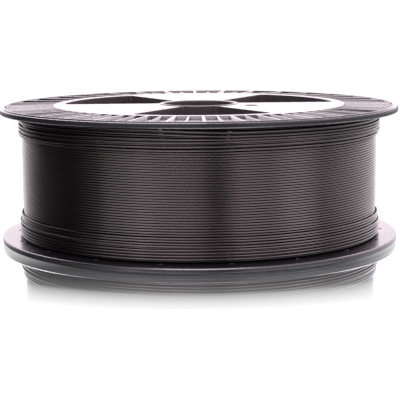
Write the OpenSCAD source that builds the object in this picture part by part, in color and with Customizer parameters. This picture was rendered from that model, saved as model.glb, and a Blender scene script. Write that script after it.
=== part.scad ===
// Large filament spool, wound full, lying on one flange.
// Two moulded halves snap together at mid width, and one strand of filament is wound on the drum.
// Millimetres. +Z runs along the spool's axis, and the origin is the centre of the lower hub lip.

/* [Flanges] */
// Outside diameter of both flanges
flange_d = 300; // [292:1:310]
// Overall width, from one hub lip to the other
spool_w = 103; // [98:1:110]
// Thickness of a flange at its rim
rim_t = 3.8; // [3.4:0.1:5]
// Radius on the edges of the rim
rim_round = 0.9; // [0.4:0.1:1.4]
// Height of the hub lip above the flat face
lip_rise = 0.4; // [0.2:0.1:0.8]
// Width of the hub lip
lip_w = 2.7; // [1.8:0.1:2.9]

/* [Hub and drum] */
// Diameter of the through bore
bore_d = 53.5; // [50:0.5:54]
// Wall of the hub tube
hub_wall = 3.2; // [2.8:0.1:4]
// Chamfer at the mouths of the bore
bore_chamfer = 0.8; // [0.4:0.1:1.2]
// Outside diameter of the winding drum
drum_d = 212; // [204:1:217]
// Wall of the winding drum
drum_wall = 3.2; // [2.8:0.1:4.5]
// Diameter of the drive hole
drive_d = 10; // [9:0.5:11]
// Distance of the drive hole from the axis
drive_offset = 44.5; // [43:0.5:46]
// Depth of the blind sleeve behind the drive hole
drive_depth = 15; // [10:1:20]
// Wall and floor of that sleeve
drive_wall = 2.2; // [1.6:0.1:2.6]

/* [Windows and webs] */
// Number of windows, with as many webs between them
window_count = 3; // [3:1:4]
// Distance from a window's straight edge to the radial line beside it
window_inset = 2.5; // [2:0.1:4]
// Radius in the corners of a window
window_corner = 5; // [3:0.5:7]
// Thickness of the flat webs
web_t = 3; // [2.4:0.1:3.6]
// Thickness of the walls that line the sides of a window
lining_t = 2.2; // [1.6:0.1:2.8]

/* [Ribs] */
// Outside diameter of the flat band around the windows
band_d = 220; // [216:1:228]
// Width of the flat land between the edge of the rim and the ring that closes the pockets
land_w = 2.4; // [1.6:0.1:4]
// Width of that ring
ring_w = 1.3; // [1:0.1:2]
// Height of that ring above the flat land
ring_rise = 0.8; // [0.5:0.1:1.4]
// Drop of the wide ribs' edges from the flat band to that ring
wide_rib_drop = 0.4; // [0.1:0.1:0.8]
// Depth of the pockets below the flat land of the rim
pocket_depth = 0.9; // [0.6:0.1:1.2]
// Number of wide ribs, with a narrow rib between each two
rib_count = 36; // [30:1:40]
// Thickness of a wide rib
wide_rib_t = 2.2; // [1.8:0.1:2.6]
// Thickness of a narrow rib
narrow_rib_t = 1.4; // [1:0.1:1.8]
// Step from the flat band down to a narrow rib
narrow_rib_step = 0.05; // [0.05:0.05:0.3]
// Drop of a narrow rib's edge on its way to the rim
narrow_rib_drop = 1.3; // [0.9:0.1:1.6]
// Angle of the first wide rib, in degrees
rib_phase = 0; // [0:0.5:4]
// Diameter of the tie holes, which take the filament's end
tie_hole_d = 3.6; // [2.5:0.1:4]
// Distance from the flange's edge to the axes of the tie holes
tie_inset = 12; // [10:1:15]

/* [Snap joint] */
// Length of the laps that centre one half in the other
spigot_l = 6; // [4:0.5:8]
// Radial clearance at the laps
spigot_clear = 0.1; // [0.05:0.05:0.2]
// Gap between the halves at the parting plane
parting_gap = 0.1; // [0.05:0.05:0.3]
// Width of a snap hook
hook_w = 12; // [8:1:14]
// Thickness of a hook's arm
hook_t = 2; // [1.6:0.1:2.4]
// Reach of a hook's barb
hook_barb = 1.8; // [1.2:0.1:2.2]
// Distance from the parting plane to the barb
hook_reach = 12; // [11.5:0.5:16]
// Clearance around a hook
hook_clear = 0.2; // [0.1:0.1:0.3]

/* [Filament] */
// Diameter of the filament
filament_d = 1.75; // [1.6:0.05:1.8]
// Outside diameter of the close winding
winding_d = 267.8; // [255:0.1:269]
// Gap between neighbouring turns of the close winding
turn_gap = 0.02; // [0.01:0.01:0.1]
// Clearance between the winding and the spool
winding_clear = 0.1; // [0.05:0.05:0.3]
// Gap between the loose turns below the upper flange
upper_gap = 0.85; // [0.5:0.05:1.2]
// Turns in the first loose pass below the upper flange
upper_turns = 6; // [4:1:7]
// Gap between the loose turns above the lower flange
lower_gap = 0.3; // [0.1:0.05:0.6]
// Turns in the first loose pass above the lower flange
lower_turns = 9; // [6:1:10]

/* [Hidden] */
$fn = 180;

// Heights in one half, measured from its hub lip
face_z = lip_rise;
ring_z = face_z + wide_rib_drop;
land_z = ring_z + ring_rise;
pocket_z = land_z + pocket_depth;
inner_z = land_z + rim_t;
mid_z = spool_w / 2;
part_z = mid_z - parting_gap / 2;

// Radii
flange_r = flange_d / 2;
bore_r = bore_d / 2;
lip_r = bore_r + lip_w;
hub_r = bore_r + hub_wall;
drum_r = drum_d / 2;
drum_inner_r = drum_r - drum_wall;
band_r = band_d / 2;
ring_r = flange_r - land_w;
pocket_r = ring_r - ring_w;

// Small overlap by which one feature is sunk into the next before they are fused
sink = 0.5;
// How far a corner's arc runs past the lines that it joins, so that it crosses them cleanly
arc_cross = 0.02;

// Half of the angle from one web's middle to the next window's middle
window_step = 360 / window_count;
window_half = window_step / 4;
// The first web points away from -Y, so that a window faces -Y
web_angles = [for (i = [0 : window_count - 1]) 90 + i * window_step];
window_angles = [for (a = web_angles) a + window_step / 2];
drive_angle = web_angles[2];

rib_step = 360 / rib_count;

// ---- Windows ----

// Where a line at distance `off` inside the window's side lies at radius `r`
function side_point(r, off) =
    let (t = sqrt(r * r - off * off))
    [t * cos(window_half) + off * sin(window_half),
     t * sin(window_half) - off * cos(window_half)];

// Wedge between two straight sides that stay `inset` inside the radial lines
module wedge_2d(inset) {
    tip = inset / sin(window_half);
    far = flange_r;
    polygon([[tip, 0],
             [tip + far * cos(window_half), -far * sin(window_half)],
             [tip + far * cos(window_half), far * sin(window_half)]]);
}

// Part of that wedge between the hub tube and the drum wall
module sector_2d(inset) {
    difference() {
        intersection() {
            circle(r = drum_inner_r);
            wedge_2d(inset);
        }
        circle(r = hub_r);
    }
}

// Material that rounds the corner between a straight side and the arc of radius `arc_r`.
// `way` is 1 where the window lies outside that arc, and -1 where it lies inside.
module corner_fill_2d(arc_r, way) {
    centre_r = arc_r + way * window_corner;
    centre = side_point(centre_r, window_inset + window_corner);
    foot_r = sqrt(pow(centre_r, 2) - pow(window_inset + window_corner, 2) + pow(window_inset, 2));
    difference() {
        polygon([side_point(foot_r, window_inset),
                 side_point(foot_r, window_inset - sink),
                 side_point(arc_r - way * sink, window_inset - sink),
                 centre * (arc_r - way * sink) / centre_r,
                 centre]);
        translate(centre) circle(r = window_corner + arc_cross);
    }
}

module window_2d() {
    difference() {
        sector_2d(window_inset);
        for (side = [0, 1]) mirror([0, side]) {
            corner_fill_2d(hub_r, 1);
            corner_fill_2d(drum_inner_r, -1);
        }
    }
}

// Hollow inside a web, up to the walls that line the windows beside it
module hollow_2d() {
    sector_2d(lining_t - window_inset);
}

// ---- One moulded half, outer face down ----

// Square corner less its rounding, to cut from a profile at its outer edge
module edge_cut_2d(z, way) {
    difference() {
        translate([flange_r - rim_round, way > 0 ? z - sink : z - rim_round])
            square([rim_round + sink, rim_round + sink]);
        translate([flange_r - rim_round, z + way * rim_round]) circle(r = rim_round);
    }
}

// Laps that centre the halves: a step inside the hub tube and one outside the drum wall
module laps_2d(from_z, to_z, grow) {
    translate([bore_r - grow, from_z]) square([hub_wall / 2 + 2 * grow, to_z - from_z]);
    translate([drum_r - drum_wall / 2 - grow, from_z])
        square([drum_wall / 2 + 2 * grow, to_z - from_z]);
}

// Section of a half before its openings are cut: hub lip, flat face, slope of the wide ribs
// down to the ring, and rim land, with all that lies behind them up to the parting plane
module half_section_2d() {
    difference() {
        polygon([[bore_r + bore_chamfer, 0], [lip_r, 0], [lip_r, face_z],
                 [band_r - sink, face_z], [ring_r, ring_z], [ring_r, land_z],
                 [flange_r, land_z], [flange_r, inner_z], [drum_r, inner_z],
                 [drum_r, part_z], [bore_r, part_z], [bore_r, bore_chamfer]]);
        edge_cut_2d(land_z, 1);
        edge_cut_2d(inner_z, -1);
    }
}

// Pockets between the wide ribs
module pockets_2d() {
    difference() {
        circle(r = pocket_r);
        circle(r = band_r);
        for (i = [0 : rib_count - 1]) rotate(rib_phase + i * rib_step)
            translate([band_r - sink, -wide_rib_t / 2])
                square([pocket_r - band_r + 2 * sink, wide_rib_t]);
    }
}

module narrow_rib() {
    rotate([90, 0, 0]) linear_extrude(narrow_rib_t, center = true)
        polygon([[band_r - sink, face_z + narrow_rib_step],
                 [pocket_r + sink, face_z + narrow_rib_drop],
                 [pocket_r + sink, pocket_z + sink], [band_r - sink, pocket_z + sink]]);
}

// A tie hole lies between a narrow rib and the next wide one, in every other step
module tie_holes() {
    for (i = [0 : 2 : rib_count - 1]) rotate(rib_phase + (i + 1.75) * rib_step)
        translate([flange_r - tie_inset, 0, -sink])
            cylinder(d = tie_hole_d, h = inner_z + 2 * sink);
}

module at_drive() {
    rotate(drive_angle) translate([drive_offset, 0]) children();
}

// The turned section comes in as children
module half_body() {
    difference() {
        union() {
            difference() {
                rotate_extrude() children();
                for (a = window_angles) rotate(a) translate([0, 0, -sink])
                    linear_extrude(part_z + 2 * sink) window_2d();
                for (a = web_angles) rotate(a) translate([0, 0, face_z + web_t])
                    linear_extrude(part_z) hollow_2d();
                translate([0, 0, -sink]) linear_extrude(pocket_z + sink) pockets_2d();
            }
            for (i = [0 : rib_count - 1]) rotate(rib_phase + (i + 0.5) * rib_step) narrow_rib();
            at_drive() translate([0, 0, face_z + web_t / 2])
                cylinder(d = drive_d + 2 * drive_wall, h = drive_depth + drive_wall - web_t / 2);
        }
        at_drive() translate([0, 0, -sink]) cylinder(d = drive_d, h = face_z + drive_depth + sink);
        tie_holes();
    }
}

// ---- Snap joint ----

hook_angles = [for (a = web_angles, side = [-1, 1]) a + side * 0.6 * window_half];
// Inner and outer face of a hook's arm
arm_outer_r = drum_inner_r - hook_barb - 2 * hook_clear;
arm_inner_r = arm_outer_r - hook_t;
hook_root_l = 10;
hook_root_t = 6;
barb_l = 4;

// Extrude a section drawn in radius and height to the width of a hook, standing on angle 0
module hook_slab(width) {
    rotate([90, 0, 0]) linear_extrude(width, center = true) children();
}

module snap_hook() {
    barb_z = mid_z + hook_reach;
    hook_slab(hook_w)
        polygon([[arm_inner_r, mid_z - hook_root_l],
                 [drum_inner_r + sink, mid_z - hook_root_l],
                 [drum_inner_r + sink, mid_z - hook_root_l + hook_root_t],
                 [arm_outer_r, mid_z - hook_root_l + hook_root_t],
                 [arm_outer_r, barb_z],
                 [arm_outer_r + hook_barb, barb_z],
                 [arm_outer_r + hook_barb, barb_z + 1],
                 [arm_outer_r, barb_z + barb_l],
                 [arm_inner_r, barb_z + barb_l]]);
}

// Ledge on the drum's inner wall that a hook's barb catches behind
module snap_ledge() {
    low = mid_z - hook_reach + hook_clear;
    high = mid_z - spigot_l - 1;
    hook_slab(hook_w + 2)
        polygon([[arm_outer_r + hook_clear, low], [drum_inner_r + sink, low],
                 [drum_inner_r + sink, high + 1 - sink], [arm_outer_r + hook_clear, high - 1]]);
}

module lower_half() {
    color([0.15, 0.14, 0.17]) {
        half_body() difference() {
            half_section_2d();
            laps_2d(part_z - spigot_l - parting_gap, part_z + sink, spigot_clear);
        }
        for (a = hook_angles) rotate(a) snap_ledge();
    }
}

module upper_half() {
    color([0.17, 0.16, 0.19]) translate([0, 0, spool_w]) mirror([0, 0, 1]) {
        half_body() {
            half_section_2d();
            laps_2d(part_z - sink, part_z + spigot_l, 0);
        }
        for (a = hook_angles) rotate(a) snap_hook();
    }
}

// ---- Filament ----

turn_pitch = filament_d + turn_gap;
outer_turn_r = winding_d / 2 - filament_d / 2;
layer_in_r = outer_turn_r - filament_d / 2 - turn_gap;
pack_r = layer_in_r - turn_gap;
winding_w = spool_w - 2 * inner_z - 2 * winding_clear;
layer_turns = floor(winding_w / turn_pitch);
first_pass_r = outer_turn_r + turn_pitch;

// Radius of a pass whose turns lie in the gaps of a pass wound at `spacing` below it
function nested_r(spacing) = first_pass_r + sqrt(pow(turn_pitch, 2) - pow(spacing / 2, 2));

module turns(r, z, spacing, count) {
    for (i = [0 : count - 1]) translate([0, 0, z + i * spacing])
        rotate_extrude() translate([r, 0]) circle(d = filament_d, $fn = 48);
}

// Turns of the closed layer, joined below their crests
module layer_ring(z, count) {
    rotate_extrude() {
        translate([layer_in_r, z - filament_d / 2 + sink])
            square([outer_turn_r - layer_in_r, count * turn_pitch - turn_gap - 2 * sink]);
        for (i = [0 : count - 1]) translate([outer_turn_r, z + i * turn_pitch])
            circle(d = filament_d, $fn = 48);
    }
}

// The inner layers of the winding, as one solid
module filament_pack() {
    color([0.13, 0.11, 0.10]) translate([0, 0, inner_z + winding_clear]) rotate_extrude()
        translate([drum_r + winding_clear, 0])
            square([pack_r - drum_r - winding_clear, winding_w]);
}

// The outermost closed layer, a ridge for every turn, in two lengths of the strand
layer_low_z = mid_z - (layer_turns - 1) * turn_pitch / 2;
layer_split = ceil(layer_turns / 2);

module filament_layer_lower() {
    color([0.16, 0.14, 0.13]) layer_ring(layer_low_z, layer_split);
}

module filament_layer_upper() {
    color([0.16, 0.14, 0.13])
        layer_ring(layer_low_z + layer_split * turn_pitch, layer_turns - layer_split);
}

// Loose turns on top of the closed layer: a first pass, and a second one in its gaps
module filament_upper_turns() {
    spacing = filament_d + upper_gap;
    top_z = spool_w - inner_z - winding_clear - turn_pitch / 2;
    color([0.16, 0.14, 0.13]) {
        turns(first_pass_r, top_z, -spacing, upper_turns);
        turns(nested_r(spacing), top_z - spacing / 2, -spacing, upper_turns - 2);
    }
}

module filament_lower_turns() {
    spacing = filament_d + lower_gap;
    low_z = inner_z + winding_clear + turn_pitch / 2;
    color([0.16, 0.14, 0.13]) {
        turns(first_pass_r, low_z, spacing, lower_turns);
        turns(nested_r(spacing), low_z + spacing / 2, spacing, lower_turns - 5);
    }
}

lower_half();
upper_half();
filament_pack();
filament_layer_lower();
filament_layer_upper();
filament_upper_turns();
filament_lower_turns();
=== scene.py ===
import math

import bpy
from mathutils import Matrix, Vector


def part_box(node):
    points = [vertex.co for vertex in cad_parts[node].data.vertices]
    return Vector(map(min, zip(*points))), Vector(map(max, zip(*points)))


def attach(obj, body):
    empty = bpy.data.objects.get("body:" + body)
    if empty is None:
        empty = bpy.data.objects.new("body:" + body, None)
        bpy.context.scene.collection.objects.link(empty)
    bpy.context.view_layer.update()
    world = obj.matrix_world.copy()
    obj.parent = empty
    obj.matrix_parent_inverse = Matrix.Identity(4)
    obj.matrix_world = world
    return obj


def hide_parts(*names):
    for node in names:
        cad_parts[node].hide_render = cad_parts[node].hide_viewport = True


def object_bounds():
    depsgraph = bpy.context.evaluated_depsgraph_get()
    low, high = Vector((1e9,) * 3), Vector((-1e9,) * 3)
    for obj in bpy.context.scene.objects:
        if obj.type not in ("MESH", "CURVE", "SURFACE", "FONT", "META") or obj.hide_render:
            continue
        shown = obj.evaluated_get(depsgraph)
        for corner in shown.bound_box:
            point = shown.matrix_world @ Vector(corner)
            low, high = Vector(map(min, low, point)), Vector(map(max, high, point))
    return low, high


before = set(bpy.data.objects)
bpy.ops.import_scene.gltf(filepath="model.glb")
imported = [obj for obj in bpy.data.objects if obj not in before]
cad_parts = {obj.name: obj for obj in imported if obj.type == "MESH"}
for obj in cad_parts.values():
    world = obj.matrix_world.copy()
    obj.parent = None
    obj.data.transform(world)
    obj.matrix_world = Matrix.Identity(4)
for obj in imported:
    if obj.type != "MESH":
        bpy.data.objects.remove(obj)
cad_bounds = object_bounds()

# A full filament spool lies on one flange. Metres; +Z is the spool's axis.
LOW, HIGH = cad_bounds
SPOOL_R = (HIGH[0] - LOW[0]) / 2
SPOOL_W = HIGH[2]
PACK_LOW, PACK_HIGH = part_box("filament_pack")


# ---- Camera ----

CAMERA_AT = (0.0004, -1.0136, 0.1825)
CAMERA_TURN = -1.5
CAMERA_DOWN = 8.65
CAMERA_ROLL = -0.43
LENS_MM = 120.1
SENSOR_MM = 36


def add_camera():
    data = bpy.data.cameras.new("camera")
    data.sensor_width = SENSOR_MM
    data.lens = LENS_MM
    data.clip_start = 0.05
    camera = bpy.data.objects.new("camera", data)
    bpy.context.scene.collection.objects.link(camera)
    tilt = Matrix.Rotation(math.radians(90 - CAMERA_DOWN), 4, "X")
    roll = Matrix.Rotation(math.radians(CAMERA_ROLL), 4, "Z")
    around = Matrix.Rotation(math.radians(CAMERA_TURN), 4, "Z")
    camera.matrix_world = around @ Matrix.Translation(CAMERA_AT) @ tilt @ roll
    bpy.context.scene.camera = camera


# ---- Shader maths ----

class Value:
    """A socket of a shader. Arithmetic on it adds Math nodes."""

    def __init__(self, shader, socket):
        self.shader = shader
        self.socket = socket

    def __add__(self, other):
        return self.shader.maths("ADD", self, other)

    def __radd__(self, other):
        return self.shader.maths("ADD", other, self)

    def __sub__(self, other):
        return self.shader.maths("SUBTRACT", self, other)

    def __rsub__(self, other):
        return self.shader.maths("SUBTRACT", other, self)

    def __mul__(self, other):
        return self.shader.maths("MULTIPLY", self, other)

    def __rmul__(self, other):
        return self.shader.maths("MULTIPLY", other, self)

    def __truediv__(self, other):
        return self.shader.maths("DIVIDE", self, other)

    def __pow__(self, other):
        return self.shader.maths("POWER", self, other)


class Shader:
    """The nodes of a material or world, built by expressions."""

    def __init__(self, owner):
        self.owner = owner
        owner.use_nodes = True
        self.tree = owner.node_tree
        self.tree.nodes.clear()

    def node(self, kind, settings, *inputs, output=0, **named):
        """Adds a node: settings first, then its inputs by place or by name."""
        new = self.tree.nodes.new(kind)
        for name, value in settings.items():
            if name == "stops":
                self.set_stops(new.color_ramp, value)
            else:
                setattr(new, name, value)
        for place, value in enumerate(inputs):
            self.feed(new.inputs[place], value)
        for name, value in named.items():
            self.feed(new.inputs[name.replace("_", " ")], value)
        return Value(self, new.outputs[output])

    def feed(self, socket, value):
        if isinstance(value, Value):
            self.tree.links.new(value.socket, socket)
        else:
            socket.default_value = value

    def set_stops(self, ramp, stops):
        """Gives a colour ramp its greys, each a place and a level."""
        while len(ramp.elements) < len(stops):
            ramp.elements.new(1.0)
        for element, (place, level) in zip(ramp.elements, stops):
            element.position = place
            element.color = (level, level, level, 1)

    def maths(self, operation, *values, clamp=False):
        settings = {"operation": operation, "use_clamp": clamp}
        return self.node("ShaderNodeMath", settings, *values)

    def ease(self, value, low, high, at_low, at_high):
        """Goes smoothly from at_low to at_high, as the value goes from low to high."""
        return self.node("ShaderNodeMapRange", {"interpolation_type": "SMOOTHSTEP"},
                         value, low, high, at_low, at_high)

    def between(self, value, low, high):
        """1 where the value lies between low and high, and 0 elsewhere."""
        above = self.maths("GREATER_THAN", value, low)
        return above * self.maths("LESS_THAN", value, high)

    def place(self):
        """Object coordinates, as a vector."""
        return self.node("ShaderNodeTexCoord", {}, output="Object")

    def parts(self, vector):
        """X, Y and Z of a vector."""
        split = self.node("ShaderNodeSeparateXYZ", {}, vector)
        return [Value(self, output) for output in split.socket.node.outputs]

    def rays(self):
        """1 for a ray of the camera and 0 for any other, and the same for a glossy ray."""
        path = self.node("ShaderNodeLightPath", {})
        outputs = path.socket.node.outputs
        return Value(self, outputs["Is Camera Ray"]), Value(self, outputs["Is Glossy Ray"])

    def mix(self, share, first, second):
        return self.node("ShaderNodeMixShader", {}, share, first, second)

    def finish(self, surface):
        target = "ShaderNodeOutputWorld"
        if isinstance(self.owner, bpy.types.Material):
            target = "ShaderNodeOutputMaterial"
        out = self.tree.nodes.new(target)
        self.tree.links.new(surface.socket, out.inputs["Surface"])
        return self.owner


# ---- Studio, as glossy surfaces see it ----

# Brightness around the horizon: degrees from +X towards +Y, and strength
BRIGHTEST = 3.0
WALLS = [(0, 1.4), (40, 2.3), (60, 2.5), (112, 2.5), (124, 1.3), (136, 0.5), (148, 0.04),
         (181, 0.03), (190, 0.5), (212, 0.8), (222, 1.3), (230, 3.0), (239, 1.6), (262, 1.2),
         (280, 0.3), (288, 0.5), (298, 2.2), (360, 1.4)]
FLOOR_LIGHT = [(0, 1.0), (128, 0.8), (144, 0.1), (183, 0.1), (192, 0.5), (225, 0.9),
               (245, 1.4), (268, 1.3), (282, 0.5), (300, 1.6), (360, 1.0)]
WHITE = (1, 1, 1, 1)
STUDIO_TINT = (1.0, 0.885, 0.955, 1)
# The walls pass into the roof between two sines of the elevation: the share of light at each
ROOF = (0.35, 0.75, 1.0, 0.8)
# In front they are darker at the floor and brighter above: two sines, and what is added to
# a share of 1 at each. The front begins between two places along Y
FRONT_RISE = (-0.05, 0.5, -0.75, 0.6)
FRONT_FROM = (0.15, -0.25, 0.0, 1.0)


def uphill(degrees):
    """Direction from the spool to a lamp in the plane x = 0, by its elevation over +Y."""
    return 0.0, math.cos(math.radians(degrees)), math.sin(math.radians(degrees))


# Round lamps: direction, degrees from the middle to where the core ends and to where the
# lamp ends, and strength. A big one behind, one overhead, and a dim one in front
LAMP_BEHIND = (uphill(55), 24, 36, 7.0)
LAMP_OVERHEAD = (uphill(95), 13, 19, 6.0)
LAMP_AHEAD = ((-0.29, -0.45, 0.845), 12, 30, 0.9)


def around_horizon(shader, x, y, table):
    """Strength from a table of degrees, for a direction or for a place on the floor."""
    azimuth = shader.maths("ARCTAN2", y, x) / (2 * math.pi)
    turn = shader.maths("FRACT", azimuth + 1)
    stops = [(degrees / 360, strength / BRIGHTEST) for degrees, strength in table]
    return shader.node("ShaderNodeValToRGB", {"stops": stops}, turn) * BRIGHTEST


def round_lamp(shader, sky, toward, core, edge, strength):
    x, y, z = sky
    facing = x * toward[0] + y * toward[1] + z * toward[2]
    return shader.ease(facing, math.cos(math.radians(edge)), math.cos(math.radians(core)),
                       0.0, strength)


def light_world():
    """Plain white to the camera; walls, gaps and lamps of a studio to whatever is glossy."""
    shader = Shader(bpy.context.scene.world or bpy.data.worlds.new("studio"))
    bpy.context.scene.world = shader.owner
    sky = shader.parts(shader.node("ShaderNodeTexCoord", {}))
    x, y, z = sky
    walls = around_horizon(shader, x, y, WALLS)
    roof = shader.ease(z, *ROOF)
    behind = round_lamp(shader, sky, *LAMP_BEHIND)
    overhead = round_lamp(shader, sky, *LAMP_OVERHEAD)
    ahead = round_lamp(shader, sky, *LAMP_AHEAD)
    rise = shader.ease(z, *FRONT_RISE)
    front = shader.node("ShaderNodeMapRange", {}, y, *FRONT_FROM)
    lamps = shader.maths("MAXIMUM", behind, overhead) + ahead
    gloss = walls * (1 + front * rise) * roof + lamps
    camera, glossy = shader.rays()
    white = shader.node("ShaderNodeBackground", {}, WHITE, 1.0)
    studio = shader.node("ShaderNodeBackground", {}, STUDIO_TINT, gloss)
    shader.finish(shader.mix(camera, shader.mix(glossy, white, studio), white))


# ---- Floor and lamps ----

FLOOR_SIZE = 8
# How much of a mirror the floor is at each distance from the spool's axis
FLOOR_REACH = 0.26
FLOOR_SHINE = [(0.0, 1.0), (0.175, 0.985), (0.195, 0.92), (0.2, 0.87), (0.207, 0.63),
               (0.218, 0.42), (0.227, 0.27), (0.25, 0.0)]
MIRROR_TINT = (0.92, 0.98, 1.0, 1)
MIRROR_ROUGH = 0.02
# A veil covers the mirror: places along Y, and how much it hides there
VEIL = (-0.125, -0.02, 0.045, 0.75)
FLOOR_PAINT = (0.95, 0.95, 0.95, 1)
FLOOR_GLOW = 1.05
# The glow is this share of the floor for the camera and for glossy surfaces
CAMERA_SHARE = 0.85
GLOSSY_SHARE = 0.97
# To glossy surfaces the floor's light spreads from this place on Y, in a tint of its own,
# and changes between two distances from the axis
FLOOR_MIDDLE = -0.123
FLOOR_TINT = (1, 0.98, 1, 1)
FLOOR_FADE = (0.2, 0.7, 1.25, 0.5)

# Lamps: name, place and watts
LAMPS = [("softbox_left", (-1.4, -0.9, 1.2), 4),
         ("softbox_right", (1.5, -0.6, 1.0), 5)]
LAMP_SIZE = (0.8, 1.0)


def floor_material():
    """White to the camera, and a mirror close to the spool; lit unevenly for what is glossy."""
    shader = Shader(bpy.data.materials.new("floor_gloss_white"))
    x, y, _ = shader.parts(shader.place())
    reach = (x * x + y * y) ** 0.5
    stops = [(distance / FLOOR_REACH, shine) for distance, shine in FLOOR_SHINE]
    shine = shader.node("ShaderNodeValToRGB", {"stops": stops}, reach / FLOOR_REACH)
    veil = shader.ease(y, *VEIL)
    camera, glossy = shader.rays()
    paint = shader.node("ShaderNodeBsdfDiffuse", {}, FLOOR_PAINT)
    glow = shader.node("ShaderNodeEmission", {}, WHITE, FLOOR_GLOW)
    fade = shader.node("ShaderNodeMapRange", {}, reach, *FLOOR_FADE)
    light = around_horizon(shader, x, y - FLOOR_MIDDLE, FLOOR_LIGHT) * fade
    dim = shader.node("ShaderNodeEmission", {}, FLOOR_TINT, light)
    share = shader.maths("ADD", camera * CAMERA_SHARE, glossy * GLOSSY_SHARE, clamp=True)
    white = shader.mix(share, paint, shader.mix(camera, dim, glow))
    mirror = shader.node("ShaderNodeBsdfAnisotropic", {}, MIRROR_TINT, MIRROR_ROUGH)
    return shader.finish(shader.mix(shine * (1 - veil), white, mirror))


def add_floor():
    bpy.ops.mesh.primitive_plane_add(size=FLOOR_SIZE, location=(0, 0, 0))
    floor = bpy.context.object
    floor.name = "floor"
    floor.data.materials.append(floor_material())


def add_lamps():
    """Rectangular lamps, all turned to the middle of the spool."""
    middle = Vector((0, 0, SPOOL_W / 2))
    for name, at, watts in LAMPS:
        data = bpy.data.lights.new(name, "AREA")
        data.shape = "RECTANGLE"
        data.size, data.size_y = LAMP_SIZE
        data.energy = watts
        lamp = bpy.data.objects.new(name, data)
        bpy.context.scene.collection.objects.link(lamp)
        turn = (Vector(at) - middle).to_track_quat("Z", "Y")
        lamp.matrix_world = Matrix.Translation(at) @ turn.to_matrix().to_4x4()


# ---- Flanges and hub ----

SPOOL_BLACK = (0.009, 0.008, 0.0115, 1)
SPOOL_ROUGH = 0.2
SPOOL_CLOUDS = 0.1
# Radius that the mould leaves on every edge
EDGE_ROUND = 0.0009

# Within this radius, the walls of the windows and the hub are duller, and painted greyer: a
# painted lighter shade of the black plastic that stands in for light on them
WINDOWS_R = 0.1045
WINDOW_PAINTED_GREY = (0.046, 0.036, 0.038, 1)
WINDOW_ROUGH = 0.15

# The pockets lie between these radii and this far from the middle of the spool. The draft
# of their walls opens them outwards, by this much added to the normal's height
POCKET_IN, POCKET_OUT = 0.105, SPOOL_R - 0.0034
POCKET_FLOOR = 0.0488
POCKET_LEAN = 1.0
# The rims' inner edges are broken: outside this radius, and between these heights
RIM_EDGE_R = SPOOL_R - 0.0014
LOWER_EDGE = (0.0043, 0.0056)
UPPER_EDGE = (0.0972, 0.0983)
LOWER_LEAN = 0.84
UPPER_LEAN = -0.5

# Painted sheen: a more reflective copy of the black plastic, mixed onto these walls as a
# painted highlight.
# Its share on each of these walls; a pocket's wall loses some of it where it faces the rim or
# the hub
POCKET_PAINTED_SHEEN = 0.52
POCKET_LOSS = 0.45
LOWER_PAINTED_SHEEN = 0.35
UPPER_PAINTED_SHEEN = 0.3
PAINTED_SHEEN_IOR = 2.5


def spool_plastic():
    """Moulded black plastic, with drafted pocket walls, a painted sheen on them and on the
    rims' edges, and duller walls inside the windows that are painted a lighter grey as painted
    light.
    """
    shader = Shader(bpy.data.materials.new("spool_plastic"))
    place = shader.place()
    x, y, z = shader.parts(place)
    reach = (x * x + y * y) ** 0.5
    height = z - SPOOL_W / 2
    edges = shader.node("ShaderNodeBevel", {"samples": 8}, EDGE_ROUND)
    across, along, flat = shader.parts(edges)
    steep = 1 - shader.maths("ABSOLUTE", flat)
    radial = shader.maths("ABSOLUTE", (x * across + y * along) / reach)

    outside = shader.maths("GREATER_THAN", shader.maths("ABSOLUTE", height), POCKET_FLOOR)
    pocket = shader.between(reach, POCKET_IN, POCKET_OUT) * steep * outside
    rim = shader.maths("GREATER_THAN", reach, RIM_EDGE_R) * steep
    lower = shader.between(z, *LOWER_EDGE) * rim
    upper = shader.between(z, *UPPER_EDGE) * rim
    window = shader.maths("LESS_THAN", reach, WINDOWS_R) * steep

    lean = pocket * shader.maths("SIGN", height) * POCKET_LEAN
    lean = lean + lower * LOWER_LEAN + upper * UPPER_LEAN
    lean = shader.node("ShaderNodeCombineXYZ", {}, 0.0, 0.0, lean)
    normal = shader.node("ShaderNodeVectorMath", {"operation": "ADD"}, edges, lean)
    normal = shader.node("ShaderNodeVectorMath", {"operation": "NORMALIZE"}, normal)
    grain = shader.node("ShaderNodeTexNoise", {}, place, Scale=900.0, Detail=2.0)
    bump = shader.node("ShaderNodeBump", {}, Strength=0.05, Distance=0.0002, Height=grain,
                       Normal=normal)

    cloud = shader.node("ShaderNodeTexNoise", {}, place, Scale=18.0, Detail=3.0)
    rough = SPOOL_ROUGH + cloud * SPOOL_CLOUDS + window * WINDOW_ROUGH
    # The walls of the windows and the hub get a painted lighter grey, painted light on them
    colour = shader.node("ShaderNodeMixRGB", {}, window, SPOOL_BLACK, WINDOW_PAINTED_GREY)
    skin = shader.node("ShaderNodeBsdfPrincipled", {}, Base_Color=colour, Roughness=rough,
                       Normal=bump)
    # Painted sheen: a more reflective copy, mixed onto the pocket walls and the rims' edges as
    # a painted highlight
    painted_sheen = shader.node("ShaderNodeBsdfPrincipled", {}, Base_Color=SPOOL_BLACK,
                        Roughness=SPOOL_ROUGH, IOR=PAINTED_SHEEN_IOR, Normal=bump)
    share = pocket * (POCKET_PAINTED_SHEEN - POCKET_LOSS * radial)
    share = share + lower * LOWER_PAINTED_SHEEN + upper * UPPER_PAINTED_SHEEN
    return shader.finish(shader.mix(share, skin, painted_sheen))


def give_material(pieces, material):
    for piece in pieces:
        piece.data.materials.clear()
        piece.data.materials.append(material)


def dress_halves():
    halves = [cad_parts[node] for node in ("lower_half", "upper_half")]
    give_material(halves, spool_plastic())


# ---- Winding ----

STRAND_D = 0.00175
TURN_GAP = 0.00002
PITCH = STRAND_D + TURN_GAP
# Each strand is wound at this radius first, and then drawn in to its own
REEL_R = 1.0
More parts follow.
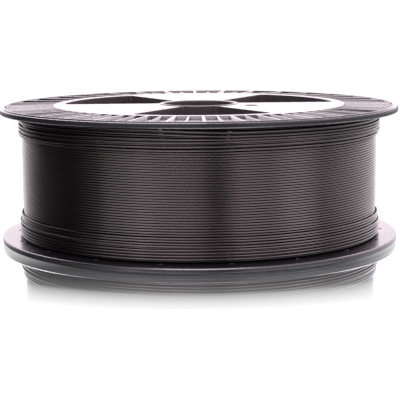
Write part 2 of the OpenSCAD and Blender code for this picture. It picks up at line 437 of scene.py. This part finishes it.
# Sides of a strand, and steps in each of its turns
CLOSED_MESH = (14, 256)
LOOSE_MESH = (10, 180)

STRAND_BLACK = (0.0034, 0.0026, 0.0024, 1)
STRAND_TINT = (1.0, 0.88, 0.87, 1)
STRAND_ROUGH = 0.08
STRAND_CLOUDS = 0.06
STRAND_SPECULAR = 0.8
# Painted shade in the grooves: the side of each strand towards them is rough and has next to no
# specular
GROOVE_SHADE_ROUGH = 0.5
GROOVE_SHADE_SPECULAR = 0.02
# Where a strand turns from its groove side, with painted shade, to its glossy ridge: 0 is the
# middle of the strand and 1 its outside
RIDGE_FROM, RIDGE_TO = 0.2, 0.8

# The closed layer lies on the pack, in two lengths. Its height over the pack's foot is known
# at one turn; from there its pitch grows slowly downwards
CLOSED_R = PACK_HIGH[0] + 2 * TURN_GAP + STRAND_D / 2
UPPER_COUNT = 25
LOWER_COUNT = 24
KNOWN_TURN = 9.483
KNOWN_HEIGHT = 0.0744
CLOSED_PITCH = 0.001735
CLOSED_GROWTH = 0.00000242

# The loose turns lie on the closed layer in two passes, the second in the gaps of the first.
# Heights over the pack's foot in millimetres, three for each turn: at these parts of the
# turn, counted from the back
FIRST_R = CLOSED_R + PITCH
SECOND_R = 0.1359
KNOWN_PARTS = (0.336, 0.444, 0.531)
UPPER_FIRST = [(91.0, 91.0, 91.0), (88.9, 88.8, 87.2), (85.6, 85.7, 84.7),
               (82.3, 82.7, 82.7), (79.3, 80.0, 80.4), (76.2, 76.2, 76.5)]
UPPER_SECOND = [(90.3, 90.1, 88.3), (87.6, 87.6, 85.7), (83.5, 84.0, 83.7),
                (80.9, 81.5, 82.0), (77.8, 78.6, 79.2)]
LOWER_FIRST = [(16.9, 16.8, 16.7), (15.0, 15.0, 14.9), (13.1, 13.0, 12.9),
               (10.5, 10.2, 10.2), (7.7, 7.7, 8.1), (5.5, 5.7, 5.9),
               (3.5, 3.7, 3.8), (1.4, 1.5, 1.5)]
LOWER_SECOND = [(12.0, 11.5, 11.1), (8.8, 8.7, 9.3), (6.6, 6.7, 6.9),
                (4.4, 4.7, 4.9), (2.5, 2.6, 2.7)]


def strand_plastic():
    """Glossy dark filament, with painted shade in the grooves between the turns, where next to
    nothing shines.
    """
    shader = Shader(bpy.data.materials.new("strand_plastic"))
    cloud = shader.node("ShaderNodeTexNoise", {}, shader.place(), Scale=30.0, Detail=3.0)
    ridge = shader.node("ShaderNodeAttribute", {"attribute_name": "ridge"}, output="Fac")
    skin = shader.node("ShaderNodeBsdfPrincipled", {}, Base_Color=STRAND_BLACK,
                       Roughness=STRAND_ROUGH + cloud * STRAND_CLOUDS,
                       Specular_IOR_Level=STRAND_SPECULAR, Specular_Tint=STRAND_TINT)
    # Painted shade: a rough copy with next to no specular, on the side of each strand towards
    # the grooves
    groove_shade = shader.node("ShaderNodeBsdfPrincipled", {}, Base_Color=STRAND_BLACK,
                         Roughness=GROOVE_SHADE_ROUGH, Specular_IOR_Level=GROOVE_SHADE_SPECULAR)
    gloss = shader.ease(ridge, RIDGE_FROM, RIDGE_TO, 0.0, 1.0)
    return shader.finish(shader.mix(gloss, groove_shade, skin))


def deselect_all():
    for each in bpy.context.selected_objects:
        each.select_set(False)


def wind_strand(name, turns, path, replaced, sides, steps):
    """One strand wound downwards from the back, where path(turn) gives radius and height."""
    deselect_all()
    bpy.ops.mesh.primitive_circle_add(vertices=sides, radius=STRAND_D / 2,
                                      location=(0, REEL_R, 0), rotation=(0, math.pi / 2, 0))
    strand = bpy.context.object
    strand.name = name
    bpy.ops.object.transform_apply(location=True, rotation=True, scale=True)
    winder = strand.modifiers.new("wind", "SCREW")
    winder.axis = "Z"
    winder.angle = 2 * math.pi
    winder.screw_offset = -PITCH
    winder.iterations = turns
    winder.steps = winder.render_steps = steps
    winder.use_smooth_shade = True
    bpy.ops.object.modifier_apply(modifier="wind")
    ridge = strand.data.attributes.new("ridge", "FLOAT", "POINT")
    for index, vertex in enumerate(strand.data.vertices):
        turn = index // sides / steps
        radius, height = path(turn)
        x, y, z = vertex.co
        reach = math.hypot(x, y)
        ridge.data[index].value = (reach - REEL_R) / (STRAND_D / 2)
        swell = (reach - REEL_R + radius) / reach
        vertex.co = (x * swell, y * swell, z + PITCH * turn + PACK_LOW[2] + height)
    bpy.ops.object.mode_set(mode="EDIT")
    bpy.ops.mesh.select_all(action="SELECT")
    bpy.ops.mesh.fill_holes(sides=sides)
    bpy.ops.mesh.select_all(action="SELECT")
    bpy.ops.mesh.normals_make_consistent(inside=False)
    bpy.ops.object.mode_set(mode="OBJECT")
    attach(strand, "root")
    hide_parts(*replaced)
    return strand


def closed_path(turn):
    down = turn - KNOWN_TURN
    return CLOSED_R, KNOWN_HEIGHT - CLOSED_PITCH * down - CLOSED_GROWTH * down * down


def lower_closed_path(turn):
    return closed_path(turn + UPPER_COUNT)


def loose_path(radius, heights):
    """A path through the heights of a pass, easing from one to the next."""
    places = [turn + part for turn in range(len(heights)) for part in KNOWN_PARTS]
    levels = [level / 1000 for turn in heights for level in turn]

    def path(turn):
        if turn <= places[0]:
            return radius, levels[0]
        for i in range(1, len(places)):
            if turn <= places[i]:
                part = (turn - places[i - 1]) / (places[i] - places[i - 1])
                ease = part * part * (3 - 2 * part)
                return radius, levels[i - 1] + (levels[i] - levels[i - 1]) * ease
        return radius, levels[-1]

    return path


def add_winding():
    material = strand_plastic()
    strands = [wind_strand("strand_closed_upper", UPPER_COUNT, closed_path,
                           ("filament_layer_upper",), *CLOSED_MESH),
               wind_strand("strand_closed_lower", LOWER_COUNT, lower_closed_path,
                           ("filament_layer_lower",), *CLOSED_MESH)]
    loose = [("strand_upper_first", FIRST_R, UPPER_FIRST, "filament_upper_turns"),
             ("strand_upper_second", SECOND_R, UPPER_SECOND, "filament_upper_turns"),
             ("strand_lower_first", FIRST_R, LOWER_FIRST, "filament_lower_turns"),
             ("strand_lower_second", SECOND_R, LOWER_SECOND, "filament_lower_turns")]
    for name, radius, heights, node in loose:
        path = loose_path(radius, heights)
        strands.append(wind_strand(name, len(heights), path, (node,), *LOOSE_MESH))
    give_material(strands + [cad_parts["filament_pack"]], material)


add_camera()
light_world()
add_floor()
add_lamps()
dress_halves()
add_winding()

bpy.context.scene.view_settings.view_transform = "Standard"
